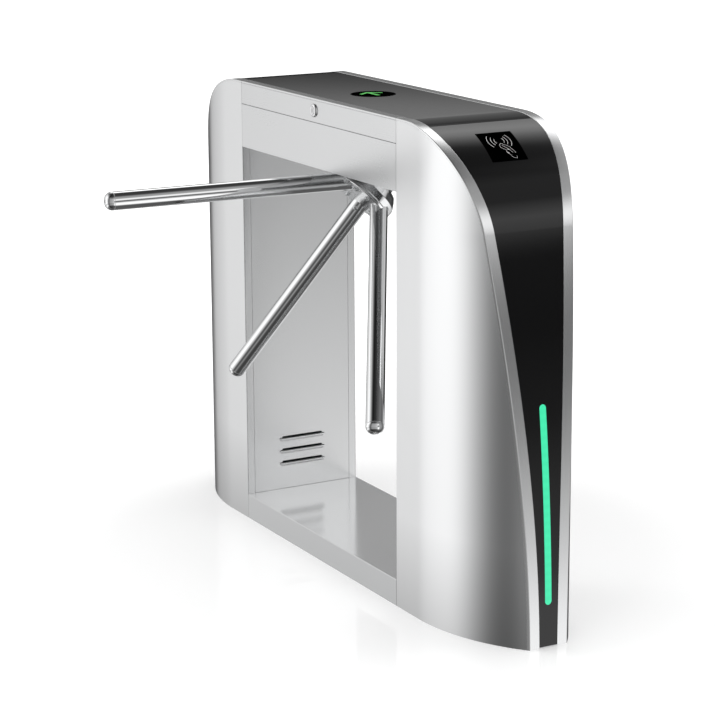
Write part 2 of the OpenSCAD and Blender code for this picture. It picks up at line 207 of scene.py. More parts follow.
def fillet(points, radius, steps=3):
    """Closed outline with its corners rounded; radius is one number or one per corner."""
    out = []
    count = len(points)
    for i, point in enumerate(points):
        r = radius[i] if isinstance(radius, (list, tuple)) else radius
        p = Vector(point)
        before = Vector(points[i - 1]) - p
        after = Vector(points[(i + 1) % count]) - p
        if r <= 0:
            out.append((p.x, p.y))
            continue
        half = before.angle(after) / 2
        reach = min(r / math.tan(half), 0.49 * before.length, 0.49 * after.length)
        r = reach * math.tan(half)
        centre = p + (before.normalized() + after.normalized()).normalized() * (r / math.sin(half))
        start = p + before.normalized() * reach - centre
        end = p + after.normalized() * reach - centre
        a0 = math.atan2(start.y, start.x)
        sweep = (math.atan2(end.y, end.x) - a0 + math.pi) % (2 * math.pi) - math.pi
        for k in range(steps + 1):
            a = a0 + sweep * k / steps
            out.append((centre.x + r * math.cos(a), centre.y + r * math.sin(a)))
    return out


def plate(outline, holes, thickness, bevel, place):
    """Flat plate with holes and rounded edges, as a bmesh. The outline is in its XY plane."""
    curve = bpy.data.curves.new("plate", "CURVE")
    curve.dimensions = "2D"
    curve.fill_mode = "BOTH"
    curve.extrude = thickness / 2 - bevel
    curve.bevel_depth = bevel
    curve.bevel_resolution = 2
    curve.offset = -bevel
    for loop in [outline] + list(holes):
        spline = curve.splines.new("POLY")
        spline.points.add(len(loop) - 1)
        for knot, (x, y) in zip(spline.points, loop):
            knot.co = (x, y, 0, 1)
        spline.use_cyclic_u = True
    obj = bpy.data.objects.new("plate", curve)
    bpy.context.scene.collection.objects.link(obj)
    graph = bpy.context.evaluated_depsgraph_get()
    mesh = bpy.data.meshes.new_from_object(obj.evaluated_get(graph))
    part = bmesh.new()
    part.from_mesh(mesh)
    bpy.data.objects.remove(obj)
    bpy.data.curves.remove(curve)
    bpy.data.meshes.remove(mesh)
    part.transform(place)
    return part


def arc(cx, cy, r, a0, a1, steps):
    """Points on an arc, angles in degrees."""
    return [(cx + r * math.cos(math.radians(a0 + (a1 - a0) * k / steps)),
             cy + r * math.sin(math.radians(a0 + (a1 - a0) * k / steps)))
            for k in range(steps + 1)]


def stadium(w, h, steps=8):
    """Outline of a slot w wide and h high, centred."""
    half = (w - h) / 2
    return (arc(half, 0, h / 2, -90, 90, steps) + arc(-half, 0, h / 2, 90, 270, steps))


# ---------------------------------------------------------------- cabinet outline
def plan_y(x):
    """Half width of the cabinet at x."""
    if x <= NOSE_X:
        return HALF_W
    return math.sqrt(NOSE_R ** 2 - (x - NOSE_X) ** 2) - (NOSE_R - HALF_W)


def side_x(z, depth):
    """End of the cabinet at height z, below a skin of that depth."""
    split = CROWN_Z + (CROWN_R - depth) * math.sin(CROWN_END)
    if z >= split:
        r = CROWN_R - depth
        return CROWN_X + math.sqrt(max(r ** 2 - (z - CROWN_Z) ** 2, 0))
    r = FLANK_R - depth
    return FLANK_X + math.sqrt(r ** 2 - (z - FLANK_Z) ** 2)


def crown_angle(x):
    """Angle on the crown arc at which its outer face is at x."""
    return math.acos(min(1, (x - CROWN_X) / CROWN_R))


def side_stations(x_from, z_to=0.0, crown_steps=44, flank_steps=40):
    """Points and outward normals along the side outline, from x_from down to z_to."""
    found = []
    if x_from < CROWN_X:
        count = max(2, int((CROWN_X - x_from) / (20 * MM)))
        for k in range(count):
            found.append((Vector((x_from + (CROWN_X - x_from) * k / count, TOP)), Vector((0, 1))))
        start = math.pi / 2
    else:
        start = crown_angle(x_from)
    for k in range(crown_steps):
        a = start + (CROWN_END - start) * k / crown_steps
        n = Vector((math.cos(a), math.sin(a)))
        found.append((Vector((CROWN_X, CROWN_Z)) + n * CROWN_R, n))
    floor_a = math.asin((z_to - FLANK_Z) / FLANK_R)
    for k in range(flank_steps + 1):
        a = CROWN_END + (floor_a - CROWN_END) * k / flank_steps
        n = Vector((math.cos(a), math.sin(a)))
        found.append((Vector((FLANK_X, FLANK_Z)) + n * FLANK_R, n))
    return found


def skin_point(station, depth, z_min=0.0, x_min=0.0):
    """Place (x, z) that lies depth below the skin at a station of the side outline."""
    p, n = station
    q = p - n * depth
    return max(q.x, x_min), max(q.y, z_min)


# ---------------------------------------------------------------- materials
def new_material(name):
    """Material with one Principled shader: the material, its tree and the shader."""
    mat = bpy.data.materials.new(name)
    mat.use_nodes = True
    tree = mat.node_tree
    tree.nodes.clear()
    out = tree.nodes.new("ShaderNodeOutputMaterial")
    shader = tree.nodes.new("ShaderNodeBsdfPrincipled")
    tree.links.new(shader.outputs["BSDF"], out.inputs["Surface"])
    return mat, tree, shader


def node(tree, kind, inputs=None, **settings):
    """Adds a node; inputs hold a value or a socket to link, settings are its properties."""
    made = tree.nodes.new(kind)
    for key, value in settings.items():
        setattr(made, key, value)
    for key, value in (inputs or {}).items():
        if isinstance(value, bpy.types.NodeSocket):
            tree.links.new(value, made.inputs[key])
        else:
            made.inputs[key].default_value = value
    return made


def noise(tree, scale, detail=4.0, stretch=(1, 1, 1)):
    """Noise in the object's own coordinates, stretched along an axis."""
    coords = node(tree, "ShaderNodeTexCoord")
    mapped = node(tree, "ShaderNodeMapping",
                  {"Vector": coords.outputs["Object"], "Scale": stretch})
    return node(tree, "ShaderNodeTexNoise",
                {"Vector": mapped.outputs["Vector"], "Scale": scale, "Detail": detail,
                 "Roughness": 0.55}).outputs["Fac"]


def spread(tree, value, low, high, from_low=0.3, from_high=0.7):
    """Maps a 0-1 pattern to a range."""
    return node(tree, "ShaderNodeMapRange",
                {"Value": value, "From Min": from_low, "From Max": from_high,
                 "To Min": low, "To Max": high}).outputs["Result"]


def shade(tree, value, dark, light):
    """Colour that runs between two tints with a pattern."""
    return node(tree, "ShaderNodeMix", {"Factor": value, "A": (*dark, 1), "B": (*light, 1)},
                data_type="RGBA").outputs["Result"]


def bump(tree, shader, height, strength, distance):
    """Relief on the shader from a height pattern."""
    made = node(tree, "ShaderNodeBump",
                {"Height": height, "Strength": strength, "Distance": distance})
    tree.links.new(made.outputs["Normal"], shader.inputs["Normal"])


def feed(tree, socket, shader, key):
    """Links a pattern to one input of the shader."""
    tree.links.new(socket, shader.inputs[key])


def brushed(name, tint, rough, grain, aniso=0.0, turn_aniso=0.0, depth=0.02, spread_r=0.05,
            floor_shade=1.0, metal=1.0):
    """Metal with a brushed grain: colour, roughness and bump follow the same fine lines.

    The last but one argument is how much of the tint is left at the floor: painted shade, darker
    towards the floor.
    """
    mat, tree, shader = new_material(name)
    lines = noise(tree, 1.0, 3.0, grain)
    cloud = noise(tree, 5.0, 3.0)
    both = node(tree, "ShaderNodeMath", {0: lines, 1: cloud}, operation="ADD").outputs[0]
    half = node(tree, "ShaderNodeMath", {0: both, 1: 0.5}, operation="MULTIPLY").outputs[0]
    dark = [c * 0.95 for c in tint]
    colour = shade(tree, half, dark, tint)
    # painted shade: the colour darkens towards the floor, over the lowest 200 mm
    if floor_shade < 1:
        place = node(tree, "ShaderNodeTexCoord").outputs["Object"]
        rise = node(tree, "ShaderNodeSeparateXYZ", {"Vector": place}).outputs["Z"]
        level = spread(tree, rise, floor_shade, 1.0, 0.0, FLOOR_SHADE_H)
        colour = node(tree, "ShaderNodeMix", {"Factor": 1.0, "A": colour, "B": level},
                      data_type="RGBA", blend_type="MULTIPLY").outputs["Result"]
    feed(tree, colour, shader, "Base Color")
    feed(tree, spread(tree, half, rough - spread_r, rough + spread_r), shader, "Roughness")
    shader.inputs["Metallic"].default_value = metal
    shader.inputs["Anisotropic"].default_value = aniso
    shader.inputs["Anisotropic Rotation"].default_value = turn_aniso
    if aniso:
        tangent = node(tree, "ShaderNodeTangent", direction_type="RADIAL", axis="Z")
        tree.links.new(tangent.outputs["Tangent"], shader.inputs["Tangent"])
    bump(tree, shader, lines, depth, 0.0004)
    return mat


def polished(name, tint, rough, metal=1.0):
    """Mirror metal with faint wiping marks; less than full metal leaves a pale sheen."""
    mat, tree, shader = new_material(name)
    cloud = noise(tree, 14.0, 5.0)
    fine = noise(tree, 420.0, 3.0)
    feed(tree, shade(tree, cloud, [c * 0.97 for c in tint], tint), shader, "Base Color")
    feed(tree, spread(tree, cloud, rough * 0.7, rough * 1.5), shader, "Roughness")
    shader.inputs["Metallic"].default_value = metal
    bump(tree, shader, fine, 0.01, 0.0002)
    return mat


def plastic(name, tint, rough, ripple=180.0, depth=0.08, gloss=0.5, lighter=1.25):
    """Moulded or painted surface with a fine texture."""
    mat, tree, shader = new_material(name)
    cloud = noise(tree, 7.0, 4.0)
    grain = noise(tree, ripple, 4.0)
    feed(tree, shade(tree, cloud, tint, [min(1, c * lighter) for c in tint]),
         shader, "Base Color")
    feed(tree, spread(tree, grain, rough * 0.85, rough * 1.2), shader, "Roughness")
    shader.inputs["Specular IOR Level"].default_value = gloss
    bump(tree, shader, grain, depth, 0.0003)
    return mat


def glowing(name, tint, strength, pitch):
    """Lit diffuser: the lamps behind it give a faint even rhythm under a glossy face."""
    mat, tree, shader = new_material(name)
    coords = node(tree, "ShaderNodeTexCoord")
    wave = node(tree, "ShaderNodeTexWave",
                {"Vector": coords.outputs["Object"], "Scale": 0.314 / pitch, "Distortion": 0.0},
                wave_type="BANDS", bands_direction="Z", wave_profile="SIN")
    glow = spread(tree, wave.outputs["Fac"], strength * 0.97, strength * 1.03, 0.0, 1.0)
    tree.links.new(glow, shader.inputs["Emission Strength"])
    cloud = noise(tree, 30.0, 2.0)
    feed(tree, shade(tree, cloud, [c * 0.25 for c in tint], [c * 0.32 for c in tint]),
         shader, "Base Color")
    shader.inputs["Emission Color"].default_value = (*tint, 1)
    shader.inputs["Roughness"].default_value = 0.25
    return mat


HORIZONTAL_GRAIN = (8, 8, 1800)
# the shell, head, lid skirts and base top are one steel: the shell is tinted lighter than the head
# and skirts, and the base top lighter still, as painted light
STEEL_TINT = (0.89, 0.895, 0.90)
FLOOR_SHADE_H = 200 * MM                      # painted shade: below this height the tint darkens towards the floor

# the shell's colour carries painted shade: 70% of its tint at the floor
satin_shell = brushed("satin_shell", STEEL_TINT, 0.28, HORIZONTAL_GRAIN, 0.75, 0.25, 0.001, 0.003,
                      0.70)
satin_head = brushed("satin_head", (0.79, 0.795, 0.80), 0.28, HORIZONTAL_GRAIN, 0.5, 0.25, 0.001,
                     0.01)
satin_wall = brushed("satin_wall", (0.76, 0.765, 0.77), 0.26, HORIZONTAL_GRAIN, 0, 0, 0.001, 0.01)
satin_base = brushed("satin_base", (0.98, 0.985, 0.99), 0.13, (14, 2600, 2600), 0, 0, 0.001, 0.01,
                     1.0, 0.8)
# painted shade: the base's sides are the same steel as its top, tinted much darker as they sit low
# beside the floor
satin_base_painted_shade = brushed("satin_base_painted_shade", (0.66, 0.665, 0.67), 0.26, HORIZONTAL_GRAIN, 0, 0, 0.001,
                       0.01)
trim_metal = brushed("trim_metal", (0.84, 0.845, 0.85), 0.20, (14, 2600, 14), 0, 0, 0.0005, 0.02)
chrome = polished("chrome", (0.86, 0.865, 0.87), 0.03)
hub_metal = polished("hub_metal", (0.8, 0.805, 0.81), 0.12)
plate_metal = polished("plate_metal", (0.95, 0.955, 0.96), 0.22)
lock_chrome = polished("lock_chrome", (0.86, 0.86, 0.87), 0.08)
# painted highlight: the louvre lips are the wall's steel, given a pale, mostly non-metal tint to
# stand in for their bright highlights
louvre_metal = polished("louvre_metal", (0.95, 0.955, 0.96), 0.16, 0.3)
black_glass = plastic("black_glass", (0.0016, 0.0016, 0.0018), 0.05, 60.0, 0.002, 0.5, 1.2)
black_top = plastic("black_top", (0.0016, 0.0016, 0.0018), 0.05, 60.0, 0.002, 0.5, 1.2)
window_black = plastic("window_black", (0.0003, 0.0003, 0.0003), 0.5, 300.0, 0.02, 0.0)
disc_black = plastic("disc_black", (0.0003, 0.0003, 0.0003), 0.5, 300.0, 0.02, 0.0)
print_white = plastic("print_white", (0.62, 0.62, 0.62), 0.5, 900.0, 0.05, 0.5, 1.1)
mint_light = glowing("mint_light", (0.041, 0.68, 0.35), 1.0, 16.6 * MM)
green_light = glowing("green_light", (0.11, 0.76, 0.12), 0.38, 9 * MM)
zinc_plate = brushed("zinc_plate", (0.55, 0.57, 0.6), 0.36, (900, 900, 900), 0, 0, 0.05, 0.1)
cast_alloy = plastic("cast_alloy", (0.42, 0.43, 0.44), 0.42, 500.0, 0.5)
cast_alloy.node_tree.nodes["Principled BSDF"].inputs["Metallic"].default_value = 0.85
board_green = plastic("board_green", (0.75, 0.76, 0.72), 0.4, 120.0, 0.1)
dark_case = plastic("dark_case", (0.03, 0.03, 0.033), 0.45, 240.0, 0.2)
grey_case = plastic("grey_case", (0.45, 0.46, 0.45), 0.45, 240.0, 0.2)
coil_wrap = plastic("coil_wrap", (0.05, 0.09, 0.28), 0.4, 90.0, 0.3)
bright_steel = brushed("bright_steel", (0.75, 0.76, 0.77), 0.2, (700, 700, 700), 0, 0, 0.02)

SLOT_MATERIAL = {
    "satin_steel": satin_wall,
    "bright_trim": trim_metal,
    "black_glass": black_glass,
    "light": mint_light,
    "reader_glass": window_black,
    "indicator": disc_black,
    "arrow": green_light,
    "arm_chrome": chrome,
    "hub_metal": hub_metal,
    "zinc": zinc_plate,
    "cast": cast_alloy,
    "board": board_green,
    "dark_plastic": dark_case,
    "grey_plastic": grey_case,
    "coil": coil_wrap,
    "lock_metal": bright_steel,
}
for cad in frame["nodes"].values():
    for place_slot in cad.material_slots:
        place_slot.material = SLOT_MATERIAL[place_slot.material.name.split(".")[0]]

ENDS = (("right", 1), ("left", -1))
SIDES = (("front", -1), ("rear", 1))


# ---------------------------------------------------------------- columns
def faces_portal(face):
    """True for the flange of a column sheet, which lies beside the inner wall."""
    return abs(face.normal.x) > 0.8 and abs(face.center.x) < HALF_P + 2 * SHEET


def build_shell(end, x_sign, side, y_sign):
    """Outer sheet of one column side, folded at the portal and running into the nose."""
    shell_top = TOP - TRIM_T
    rows = []
    heights = [shell_top * k / 36 for k in range(30)]
    low = heights[-1]
    heights += [low + (shell_top - low) * math.sin(math.pi / 2 * k / 26) for k in range(1, 27)]
    columns = 44
    for z in heights:
        x_end = max(side_x(z, TRIM_T), HALF_P + 2 * FOLD_R + MM)
        outer = [(HALF_P, HALF_W - 2 * FOLD_R)]
        outer += [(HALF_P + FOLD_R - FOLD_R * math.cos(a), HALF_W - FOLD_R + FOLD_R * math.sin(a))
                  for a in (math.pi / 2 * k / 5 for k in range(5))]
        for k in range(columns + 1):
            x = HALF_P + FOLD_R + (x_end - HALF_P - FOLD_R) * k / columns
            outer.append((x, plan_y(x)))
        inner = [(max(x, HALF_P + SHEET), min(y, plan_y(x)) - SHEET) for x, y in outer[::-1]]
        rows.append([(x, -y, z) for x, y in outer + inner])
    made = Builder().skin(rows)
    made.block((HALF_P, -HALF_W + FOLD_R, 0), (HALF_P + SHEET, -HALF_W + FLANGE_W, HEAD_Z - MM),
               0.5 * MM)
    made.mirrored(x_sign, -y_sign)
    made.done(f"shell_sheet_{side}_{end}", satin_shell, "cabinet",
              [f"shell_{side}_{end}"], "satin_steel", 32, satin_wall, faces_portal)


LOUVRE_Z = (117 * MM, 146 * MM, 175 * MM)
LOUVRE_L = 102 * MM
LOUVRE_R = 7 * MM
SLOT_H = 5 * MM
LIP_OUT = 1.0                          # how far the lips stand out, against their height


def build_inner_wall(end, x_sign):
    """Panel of a column that faces the portal, with three scooped louvres."""
    half_y = HALF_W - FLANGE_W - FIT
    z0, z1 = BASE_TOP + 0.15 * MM, HEAD_Z - MM
    outline = fillet([(-half_y, z0), (half_y, z0), (half_y, z1), (-half_y, z1)], 1.2 * MM)
    holes = [[(y, z + h + SLOT_H / 2) for y, h in stadium(LOUVRE_L, SLOT_H, 6)] for z in LOUVRE_Z]
    upright = Matrix(((0, 0, 1, HALF_P + SHEET / 2), (1, 0, 0, 0), (0, 1, 0, 0), (0, 0, 0, 1)))
    made = Builder().take(plate(outline, holes, SHEET, 0.35 * MM, upright))
    made.mirrored(x_sign)
    made.done(f"wall_panel_{end}", satin_wall, "cabinet", [f"inner_wall_{end}"], "satin_steel")

    lips = Builder()
    thick = 1.3 * MM
    half_l = LOUVRE_L / 2
    for z in LOUVRE_Z:
        rows = []
        for k in range(-22, 23):
            t = k / 22
            y = math.copysign((1 - (1 - abs(t)) ** 1.6) * (half_l + LOUVRE_R), t)
            past = max(abs(y) - half_l, 0)
            r = math.sqrt(max(LOUVRE_R ** 2 - past ** 2, (0.4 * MM) ** 2))
            inner = max(r - thick, 0.2 * MM)
            section = []
            for s in range(9):
                a = math.pi / 2 * s / 8
                section.append((-LIP_OUT * r * math.cos(a), -r * math.sin(a)))
            for s in range(9):
                a = math.pi / 2 * (8 - s) / 8
                section.append((-LIP_OUT * inner * math.cos(a), -inner * math.sin(a)))
            middle = -LIP_OUT * (r + inner) / 2
            section.append((middle + 0.3 * (r - inner) * LIP_OUT, 0.35 * MM))
            section.append((middle - 0.3 * (r - inner) * LIP_OUT, 0.35 * MM))
            rows.append([(HALF_P + SHEET / 2 + dx, y, z + dz) for dx, dz in section])
        lips.skin(rows)
    lips.mirrored(x_sign)
    lips.done(f"louvre_lips_{end}", louvre_metal, "cabinet", (), "satin_steel", 50)


def build_trims(end, x_sign):
    """Two bright bands with rounded edges that run over the crown and down to the floor."""
    made = Builder()
    section = fillet([(0, 0), (TRIM_W, 0), (TRIM_W, TRIM_T), (0, TRIM_T)],
                     [1.4 * MM, 0.9 * MM, 0.2 * MM, 0.2 * MM], 3)
    for y_sign in (-1, 1):
        rings = []
        for station in side_stations(HALF_P):
            ring = []
            for w, d in section:
                x, z = skin_point(station, d)
                ring.append((x_sign * x, y_sign * (plan_y(x) - w), z))
            rings.append(ring)
        made.skin(rings)
    made.done(f"trim_bands_{end}", trim_metal, "cabinet", [f"edge_trims_{end}"], "bright_trim")


def build_end_panel(end, x_sign):
    """Black bent panel between the trims."""
    rim = TRIM_W + FIT
    side = [(rim, PANEL_D + 0.7 * MM), (rim + 0.2 * MM, PANEL_D + 0.2 * MM),
            (rim + 0.7 * MM, PANEL_D)]
    rings = []
    for i, station in enumerate(side_stations(CREASE_X + FIT, 2 * MM)):
        ring = []
        drop = 0.5 * MM if i == 0 else 0
        for y_sign, edge in ((1, side), (-1, side[::-1])):
            for w, d in edge:
                x, z = skin_point(station, d + drop, 2 * MM, CREASE_X + FIT)
                ring.append((x_sign * x, y_sign * (plan_y(x) - w), z))
        for y_sign in (-1, 1):
            x, z = skin_point(station, TRIM_T - 0.2 * MM, 2 * MM, CREASE_X + FIT)
            ring.append((x_sign * x, y_sign * (plan_y(x) - rim), z))
        rings.append(ring)
        if i == 0:
            rings.append([(x + x_sign * 0.5 * MM, y, z + 0.42 * MM) for x, y, z in ring])
    made = Builder().skin(rings)
    made.done(f"bent_panel_{end}", black_glass, "cabinet", [f"end_panel_{end}"], "black_glass")


def build_light_bar(end, x_sign):
    """Domed diffuser with round ends, let into the end panel."""
    half = (bar_hi.y - bar_lo.y) / 2
    z0, z1 = bar_lo.z, bar_hi.z
    heights = [z0 + half * (1 - math.cos(math.pi / 2 * k / 10)) for k in range(10)]
    heights += [z0 + half + (z1 - z0 - 2 * half) * k / 40 for k in range(41)]
    heights += [z1 - half + half * math.sin(math.pi / 2 * k / 10) for k in range(1, 11)]
    across = (-1, -0.96, -0.86, -0.5, 0, 0.5, 0.86, 0.96, 1)
    rings = []
    for z in heights:
        over = max(z0 + half - z, z - (z1 - half), 0)
        reach = max(math.sqrt(max(half ** 2 - over ** 2, 0)), 0.05 * MM)
        front, back = [], []
        for u in across:
            rise = 0.4 * MM * (1 - u ** 6)
            front.append((x_sign * (side_x(z, PANEL_D - rise + 0.15 * MM)), u * reach, z))
            back.append((x_sign * side_x(z, TRIM_T), u * reach, z))
        rings.append(front + back[::-1])
    Builder().skin(rings).done(f"light_diffuser_{end}", mint_light, "cabinet",
                               [f"light_bar_{end}"], "light", 50)


def on_window(u, v, depth, x_sign):
    """Point of the reader window: u across it, v down the slope from its middle."""
    a = READER_A - v / CROWN_R
    r = CROWN_R - depth
    return (x_sign * (CROWN_X + r * math.cos(a)), u * x_sign, CROWN_Z + r * math.sin(a))


def ribbon(made, path, width, depth, x_sign, closed=False):
    """Printed line on the reader window."""
    left, right = [], []
    count = len(path)
    for i, point in enumerate(path):
        before = path[i - 1] if (i or closed) else point
        after = path[(i + 1) % count] if (i < count - 1 or closed) else point
        along = (Vector(after) - Vector(before)).normalized()
        side = Vector((-along.y, along.x)) * (width / 2)
        left.append(Vector(point) + side)
        right.append(Vector(point) - side)
    rings = []
    for a, b in zip(left, right):
        rings.append([on_window(a.x, a.y, depth, x_sign), on_window(b.x, b.y, depth, x_sign),
                      on_window(b.x, b.y, depth + 0.1 * MM, x_sign),
                      on_window(a.x, a.y, depth + 0.1 * MM, x_sign)])
    if closed:
        rings.append(rings[0])
    made.skin(rings, caps=not closed)


def build_reader(end, x_sign):
    """Matt window of the card reader with a printed sign: waves above a hand with a card."""
    half = READER_W / 2
    half_v = READER_HALF_V
    made = Builder()
    steps = 20
    rings = []
    for k in range(steps + 1):
        v = -half_v + 2 * half_v * k / steps
        edge = 0.12 * MM if k in (0, steps) else 0
        rings.append([on_window(-half, v, 0.45 * MM, x_sign),
                      on_window(-half + 0.2 * MM, v, 0.32 * MM + edge, x_sign),
                      on_window(half - 0.2 * MM, v, 0.32 * MM + edge, x_sign),
                      on_window(half, v, 0.45 * MM, x_sign),
                      on_window(half, v, TRIM_T, x_sign), on_window(-half, v, TRIM_T, x_sign)])
    made.skin(rings)
    made.done(f"reader_glass_{end}", window_black, "cabinet", [f"reader_window_{end}"],
              "reader_glass")

    sign = Builder()
    top = 0.25 * MM
    line = 0.85 * MM
    for r in (10.5, 17.5, 25.5):
        for middle in (180, 0):
            bow = arc(0, -13 * MM, r * MM, middle - 40, middle + 40, 12)
            ribbon(sign, bow, line, top, x_sign)
    hand = [(-0.5, -6), (-5, -1.5), (-6, 5.5), (-0.5, 10), (3.5, 13), (2, 18.5), (3, 21), (6, 24),
            (9, 32), (16.5, 35.5), (18.5, 34.5), (20, 19), (16.5, 12), (15, 8), (12, 3),
            (3.5, -2.5)]
    ribbon(sign, fillet([(a * MM, b * MM) for a, b in hand], 1.6 * MM, 2), 0.6 * MM, top, x_sign,
           True)
    grip = [(-0.5, 0.5), (4, 5), (7, 8.5), (11, 14), (14.5, 21)]
    ribbon(sign, [(a * MM, b * MM) for a, b in grip], 0.7 * MM, top, x_sign)
    ribbon(sign, [(3 * MM, 19 * MM), (6 * MM, 22 * MM)], 1.6 * MM, top, x_sign)
    ribbon(sign, [(7 * MM, 11 * MM), (9 * MM, 13 * MM)], 1.6 * MM, top, x_sign)
    sign.done(f"reader_sign_{end}", print_white, "cabinet", (), "reader_glass")


for end_name, x_side in ENDS:
    for side_name, y_side in SIDES:
        build_shell(end_name, x_side, side_name, y_side)
    build_inner_wall(end_name, x_side)
    build_trims(end_name, x_side)
    build_end_panel(end_name, x_side)
    build_light_bar(end_name, x_side)
    build_reader(end_name, x_side)


# ---------------------------------------------------------------- base and head
def fold_strip(section, x_half):
    """Folded sheet that runs along X; section holds (y, z) points."""
    rings = []
    for x, drop in [(-x_half, 0.5 * MM), (-x_half + 0.5 * MM, 0)] + \
            [(-x_half + 0.5 * MM + (2 * x_half - MM) * k / 12, 0) for k in range(1, 12)] + \
            [(x_half - 0.5 * MM, 0), (x_half, 0.5 * MM)]:
        centre = sum((Vector(p) for p in section), Vector((0, 0))) / len(section)
        ring = []
        for p in section:
            towards = (centre - Vector(p)).normalized() * drop
            ring.append((x, p[0] + towards.x, p[1] + towards.y))
        rings.append(ring)
    return Builder().skin(rings)


half_head = HALF_P - 2 * FIT
base_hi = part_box("base_rail")[1]
made = fold_strip(fillet([(-HALF_W, 0), (HALF_W, 0), (HALF_W, BASE_TOP), (-HALF_W, BASE_TOP)],
                         [0.5 * MM, 0.5 * MM, 1.0 * MM, 1.0 * MM], 4), base_hi.x)
# the base's sides, every face not on top, take the darker painted-shade copy of its steel
made.done("base_cover", satin_base, "cabinet", ["base_rail"], "satin_steel", 32, satin_base_painted_shade,
          lambda face: face.normal.z < 0.5)

for side_name, y_side in SIDES:
    lip = 20 * MM
    z_top = SEAM_Z
    outline = fillet([(-HALF_W, HEAD_Z), (-HALF_W, z_top), (-HALF_W + lip, z_top),
                      (-HALF_W + lip, z_top - SHEET), (-HALF_W + SHEET, z_top - SHEET),
                      (-HALF_W + SHEET, HEAD_Z)],
                     [0.7 * MM, 1.2 * MM, 0.5 * MM, 0.5 * MM, 0.2 * MM, 0.7 * MM], 3)
    made = fold_strip(outline, half_head).mirrored(1, -y_side)
    made.done(f"head_sheet_{side_name}", satin_head, "cabinet", [f"fascia_{side_name}"],
              "satin_steel")

# ---------------------------------------------------------------- lid
skirt_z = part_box("lid_skirt_front")[0].z
lock_lo, lock_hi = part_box("lock_housing")
LOCK_Z = (lock_lo.z + lock_hi.z) / 2
for side_name, y_side in SIDES:
    z_top = TOP - TRIM_T
    outline = fillet([(-HALF_W, skirt_z), (-HALF_W, z_top), (-HALF_W + 40 * MM, z_top),
                      (-HALF_W + 40 * MM, z_top - SHEET), (-HALF_W + SHEET, z_top - SHEET),
                      (-HALF_W + SHEET, skirt_z)],
                     [1.2 * MM, 0.5 * MM, 0.3 * MM, 0.3 * MM, 0.2 * MM, 0.7 * MM], 3)
    made = fold_strip(outline, half_head).mirrored(1, -y_side)
    made.done(f"skirt_sheet_{side_name}", satin_head, "lid", [f"lid_skirt_{side_name}"],
              "satin_steel")

made = Builder()
for y_side in (-1, 1):
    ys = sorted((y_side * HALF_W, y_side * (HALF_W - TRIM_W)))
    made.block((-half_head, ys[0], TOP - TRIM_T), (half_head, ys[1], TOP), 1.0 * MM, 3)
made.done("lid_bands", trim_metal, "lid", ["lid_trims"], "bright_trim")

rim = TRIM_W + FIT
rings = []
half_stations = [s for s in side_stations(0.0, 0.0, 120, 2) if s[0].x <= CREASE_X - 1.2 * MM]
edge_a = crown_angle(CREASE_X - FIT - 0.5 * MM)
normal = Vector((math.cos(edge_a), math.sin(edge_a)))
edge_station = (Vector((CROWN_X, CROWN_Z)) + normal * CROWN_R, normal)
crest = half_stations + [edge_station]
rim_station = (edge_station[0] + Vector((0.5 * MM, -0.62 * MM)), normal)
line = [rim_station] + crest[::-1]
for x_side, part in ((-1, line), (1, line[::-1][1:])):
    for station in part:
        ring = []
        for y_sign, edge in ((1, ((0, 0.7), (0.2, 0.2), (0.7, 0))),
                             (-1, ((0.7, 0), (0.2, 0.2), (0, 0.7)))):
            for w, d in edge:
                x, z = skin_point(station, PANEL_D + d * MM)
                ring.append((x_side * x, y_sign * (HALF_W - rim - w * MM), z))
        for y_sign in (-1, 1):
            x, z = skin_point(station, TRIM_T - 0.2 * MM)
            ring.append((x_side * x, y_sign * (HALF_W - rim), z))
        rings.append(ring)
Builder().skin(rings).done("lid_panel", black_top, "lid", ["top_panel"], "black_glass")

# round indicator with its arrow
disc_lo, disc_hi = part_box("indicator_window")
disc_r = (disc_hi.x - disc_lo.x) / 2
disc_top = TOP - 0.3 * MM
upright = Matrix.Identity(4)
Builder().lathe([(0, disc_top), (disc_r - 0.5 * MM, disc_top), (disc_r, disc_top - 0.3 * MM),
                 (disc_r, disc_lo.z), (0, disc_lo.z)], upright, 128).done(
    "indicator_disc", disc_black, "lid", ["indicator_window"], "indicator")

head = [(-30, 0), (-12, -26), (-2.3, -26), (-17.5, -4), (24, -4), (24, 4), (-17.5, 4), (-2.3, 26),
        (-12, 26)]
arrow_outline = fillet([(x * MM, y * MM) for x, y in head], 1.0 * MM, 2)
flat = Matrix.Translation((0, 0, disc_top))
Builder().take(plate(arrow_outline, [], 0.4 * MM, 0.12 * MM, flat)).done(
    "arrow_light", green_light, "lid", ["arrow_lens"], "arrow")

# cam lock in the front skirt
lock_axis = Matrix.Translation((0, -HALF_W, LOCK_Z)) @ Matrix.Rotation(math.radians(90), 4, "X")
Builder().lathe([(8.05 * MM, -18 * MM), (11 * MM, -18 * MM), (11 * MM, 0), (14.5 * MM, 0),
                 (14.5 * MM, 1.2 * MM), (14.1 * MM, 2.2 * MM), (12.6 * MM, 3.6 * MM),
                 (11.2 * MM, 4.3 * MM), (9.6 * MM, 4.5 * MM), (8.6 * MM, 4.2 * MM),
                 (8.05 * MM, 3.5 * MM), (8.05 * MM, -18 * MM)], lock_axis, 72).done(
    "lock_bezel", lock_chrome, "lid", ["lock_housing"], "lock_metal")
made = Builder()
face = lock_axis @ Matrix.Translation((0, 0, 3.6 * MM))
made.take(plate(arc(0, 0, PLUG_R, 0, 355, 71), [[(-1 * MM, -4.5 * MM), (-1 * MM, 4.5 * MM),
                                                   (1 * MM, 4.5 * MM), (1 * MM, -4.5 * MM)]],
                2.4 * MM, 0.3 * MM, face))
